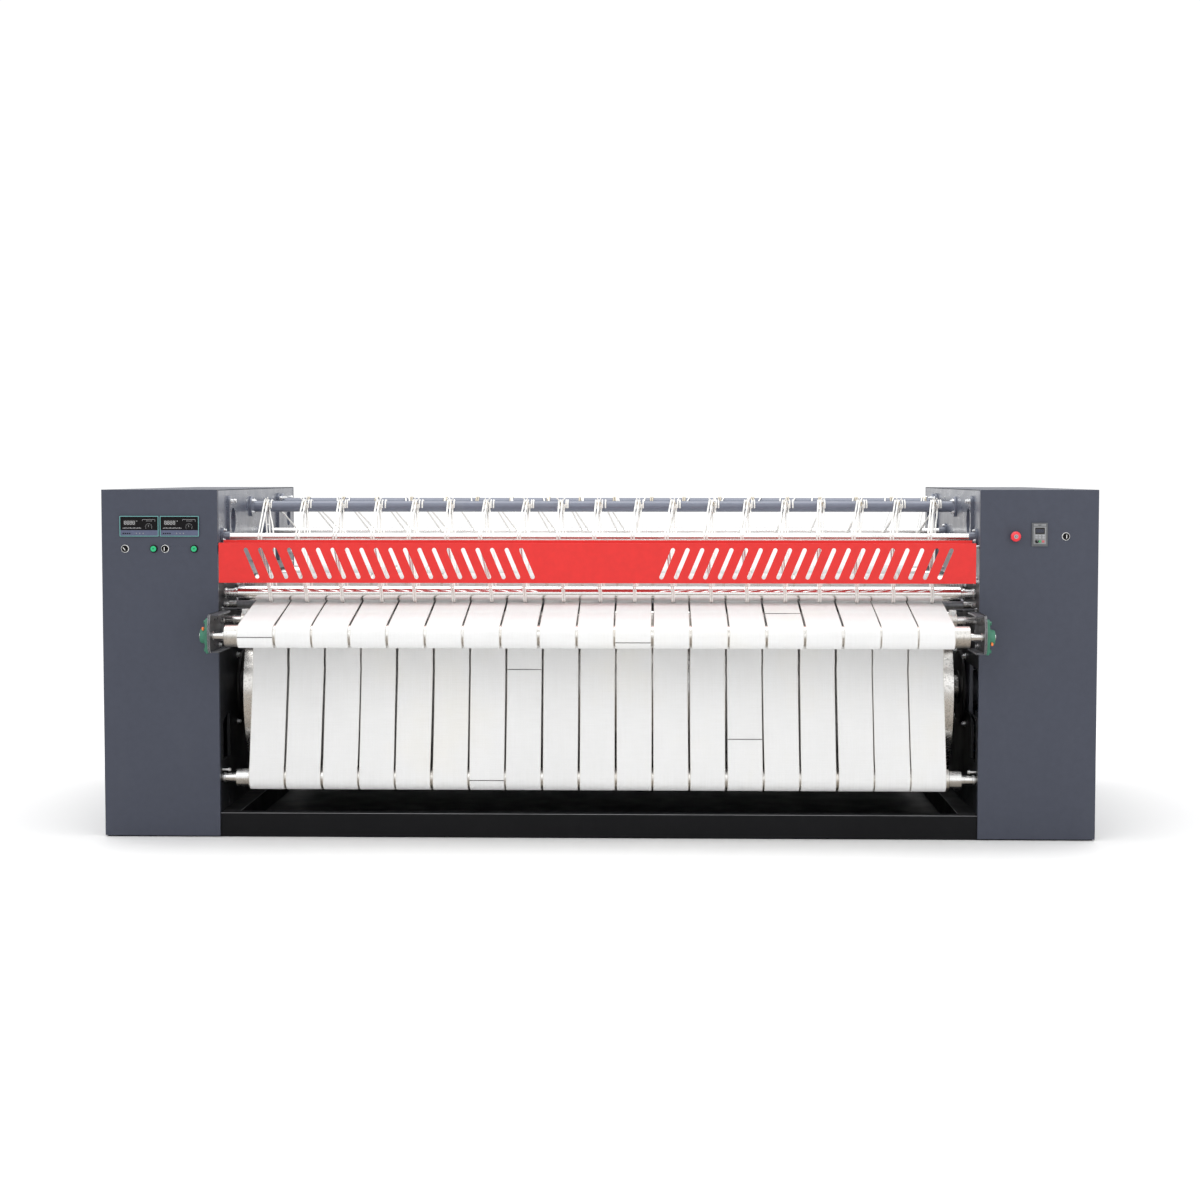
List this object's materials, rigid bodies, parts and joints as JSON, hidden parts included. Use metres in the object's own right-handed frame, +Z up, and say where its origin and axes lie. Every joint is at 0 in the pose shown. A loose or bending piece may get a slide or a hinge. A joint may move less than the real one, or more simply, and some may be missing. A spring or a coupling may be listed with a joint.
{
  "type": "flatwork ironer",
  "caption": "Two-drum flatwork ironer: steel drums and canvas feed belts between two painted cabinets, with guide cords, a press roller, a slotted red finger guard and controls.",
  "frame": {"origin": "centre of the footprint, on the floor", "axes": "+X along the drums to the operator's right, +Y from the feeding side to the rear, +Z up"},
  "size_m": [4.114, 2.116, 1.448],
  "materials": {
    "cabinet": "satin",
    "frame": "satin",
    "steel": "polished",
    "drum": "polished",
    "belt": "matt",
    "cord": "matt",
    "guard": "gloss",
    "bracket": "satin",
    "bearing": "painted",
    "iron": "painted",
    "chain": "oiled",
    "black": "matt",
    "red": "gloss",
    "green": "gloss",
    "panel": "matt",
    "motor": "satin"
  },
  "bodies": {
    "machine": {"left_front_cover": "cabinet", "right_front_cover": "cabinet", "left_rear_cover": "cabinet", "right_rear_cover": "cabinet", "left_end_cover": "cabinet", "right_end_cover": "cabinet", "left_top_cover": "cabinet", "right_top_cover": "cabinet", "inner_panel_left": "cabinet", "inner_panel_right": "cabinet", "cord_bar_front": "cabinet", "cord_bar_rear": "cabinet", "base_front_beam": "frame", "base_rear_beam": "frame", "base_side_left": "frame", "base_side_right": "frame", "dust_tray": "frame", "frame_plate_left": "frame", "frame_plate_right": "frame", "guide_tube_front": "steel", "guide_tube_middle": "steel", "ironing_belts": "belt", "guide_cords": "cord", "feed_bracket_left": "bracket", "feed_bracket_right": "bracket", "feed_bearing_left": "bearing", "feed_bearing_right": "bearing", "drum_1_bearing_left": "iron", "drum_1_bearing_right": "iron", "drum_2_bearing_left": "iron", "drum_2_bearing_right": "iron", "drive_chain": "chain", "left_switch_bank": "black", "right_switch_bank": "black", "speed_keypad": "black", "temperature_controller_1": "panel", "temperature_controller_2": "panel", "gearmotor": "motor"},
    "front_drum": {"drum_1": "drum"},
    "rear_drum": {"drum_2": "drum"},
    "pressing_roller": {"press_roller": "steel"},
    "front_turning_roller": {"turning_roller_1": "steel"},
    "middle_turning_roller": {"turning_roller_2": "steel"},
    "front_exit_roller": {"exit_roller_1": "steel"},
    "rear_exit_roller": {"exit_roller_2": "steel"},
    "rear_upper_return_roller": {"rear_top_roller": "steel"},
    "rear_lower_return_roller": {"rear_lower_roller": "steel"},
    "middle_return_roller": {"return_idler": "steel"},
    "front_return_roller": {"front_lower_roller": "steel"},
    "apron_rear_roller": {"snub_roller": "steel"},
    "apron_front_roller": {"feed_roller": "steel"},
    "motor_sprocket": {"drive_sprocket": "iron"},
    "guard": {"finger_guard": "guard"},
    "selector_a": {"selector_knob_1": "black"},
    "selector_b": {"selector_knob_2": "black"},
    "selector_c": {"selector_knob_3": "black"},
    "button_a": {"start_button_1": "green"},
    "button_b": {"start_button_2": "green"},
    "stop_button": {"emergency_stop_button": "red"},
    "dial": {"speed_knob": "black"}
  },
  "joints": [
    {"name": "front_drum_turn", "type": "hinge", "parent": "machine", "child": "front_drum", "pos_m": [0, -0.282, 0.585], "axis": [1, 0, 0], "continuous": true},
    {"name": "rear_drum_turn", "type": "hinge", "parent": "machine", "child": "rear_drum", "pos_m": [0, 0.588, 0.585], "axis": [1, 0, 0], "continuous": true},
    {"name": "pressing_roller_turn", "type": "hinge", "parent": "machine", "child": "pressing_roller", "pos_m": [0, -0.697, 1.013], "axis": [1, 0, 0], "continuous": true},
    {"name": "front_turning_roller_turn", "type": "hinge", "parent": "machine", "child": "front_turning_roller", "pos_m": [0, -0.597, 0.962], "axis": [1, 0, 0], "continuous": true},
    {"name": "middle_turning_roller_turn", "type": "hinge", "parent": "machine", "child": "middle_turning_roller", "pos_m": [0, 0.273, 0.962], "axis": [1, 0, 0], "continuous": true},
    {"name": "front_exit_roller_turn", "type": "hinge", "parent": "machine", "child": "front_exit_roller", "pos_m": [0, -0.362, 1.034], "axis": [1, 0, 0], "continuous": true},
    {"name": "rear_exit_roller_turn", "type": "hinge", "parent": "machine", "child": "rear_exit_roller", "pos_m": [0, 0.508, 1.034], "axis": [1, 0, 0], "continuous": true},
    {"name": "rear_upper_return_turn", "type": "hinge", "parent": "machine", "child": "rear_upper_return_roller", "pos_m": [0, 0.948, 0.9], "axis": [1, 0, 0], "continuous": true},
    {"name": "rear_lower_return_turn", "type": "hinge", "parent": "machine", "child": "rear_lower_return_roller", "pos_m": [0, 0.948, 0.16], "axis": [1, 0, 0], "continuous": true},
    {"name": "middle_return_turn", "type": "hinge", "parent": "machine", "child": "middle_return_roller", "pos_m": [0, 0.148, 0.16], "axis": [1, 0, 0], "continuous": true},
    {"name": "front_return_turn", "type": "hinge", "parent": "machine", "child": "front_return_roller", "pos_m": [0, -0.764, 0.242], "axis": [1, 0, 0], "continuous": true},
    {"name": "apron_rear_turn", "type": "hinge", "parent": "machine", "child": "apron_rear_roller", "pos_m": [0, -0.747, 0.905], "axis": [1, 0, 0], "continuous": true},
    {"name": "apron_front_turn", "type": "hinge", "parent": "machine", "child": "apron_front_roller", "pos_m": [0, -1.007, 0.855], "axis": [1, 0, 0], "continuous": true},
    {"name": "motor_sprocket_turn", "type": "hinge", "parent": "machine", "child": "motor_sprocket", "pos_m": [0, 0.153, 0.33], "axis": [1, 0, 0], "continuous": true},
    {"name": "guard_swing", "type": "hinge", "parent": "machine", "child": "guard", "pos_m": [0, -0.784, 1.213], "axis": [1, 0, 0], "range_deg": [-70, 0]},
    {"name": "selector_a_turn", "type": "hinge", "parent": "machine", "child": "selector_a", "pos_m": [-1.9597, -0.832, 1.203], "axis": [0, 1, 0], "range_deg": [-45, 45]},
    {"name": "selector_b_turn", "type": "hinge", "parent": "machine", "child": "selector_b", "pos_m": [-1.7923, -0.832, 1.203], "axis": [0, 1, 0], "range_deg": [-45, 45]},
    {"name": "selector_c_turn", "type": "hinge", "parent": "machine", "child": "selector_c", "pos_m": [1.923, -0.832, 1.257], "axis": [0, 1, 0], "range_deg": [-45, 45]},
    {"name": "dial_turn", "type": "hinge", "parent": "machine", "child": "dial", "pos_m": [1.803, -0.836, 1.2365], "axis": [0, 1, 0], "range_deg": [-150, 150]},
    {"name": "button_a_press", "type": "slide", "parent": "machine", "child": "button_a", "axis": [0, 1, 0], "range_m": [0, 0.003], "stiffness_N_per_m": 400},
    {"name": "button_b_press", "type": "slide", "parent": "machine", "child": "button_b", "axis": [0, 1, 0], "range_m": [0, 0.003], "stiffness_N_per_m": 400},
    {"name": "stop_press", "type": "slide", "parent": "machine", "child": "stop_button", "axis": [0, 1, 0], "range_m": [0, 0.006], "stiffness_N_per_m": 600}
  ],
  "couplings": [
    {"joint": "rear_drum_turn", "follows": "front_drum_turn", "ratio": 1},
    {"joint": "pressing_roller_turn", "follows": "front_drum_turn", "ratio": 12.903},
    {"joint": "front_turning_roller_turn", "follows": "front_drum_turn", "ratio": -13.333},
    {"joint": "middle_turning_roller_turn", "follows": "front_drum_turn", "ratio": -13.333},
    {"joint": "front_exit_roller_turn", "follows": "front_drum_turn", "ratio": -8.9888},
    {"joint": "rear_exit_roller_turn", "follows": "front_drum_turn", "ratio": -8.9888},
    {"joint": "rear_upper_return_turn", "follows": "front_drum_turn", "ratio": -8.9888},
    {"joint": "rear_lower_return_turn", "follows": "front_drum_turn", "ratio": -8.9888},
    {"joint": "middle_return_turn", "follows": "front_drum_turn", "ratio": -13.333},
    {"joint": "front_return_turn", "follows": "front_drum_turn", "ratio": -8.9888},
    {"joint": "apron_rear_turn", "follows": "front_drum_turn", "ratio": 13.333},
    {"joint": "apron_front_turn", "follows": "front_drum_turn", "ratio": -8.9888},
    {"joint": "motor_sprocket_turn", "follows": "front_drum_turn", "ratio": 2.3}
  ]
}
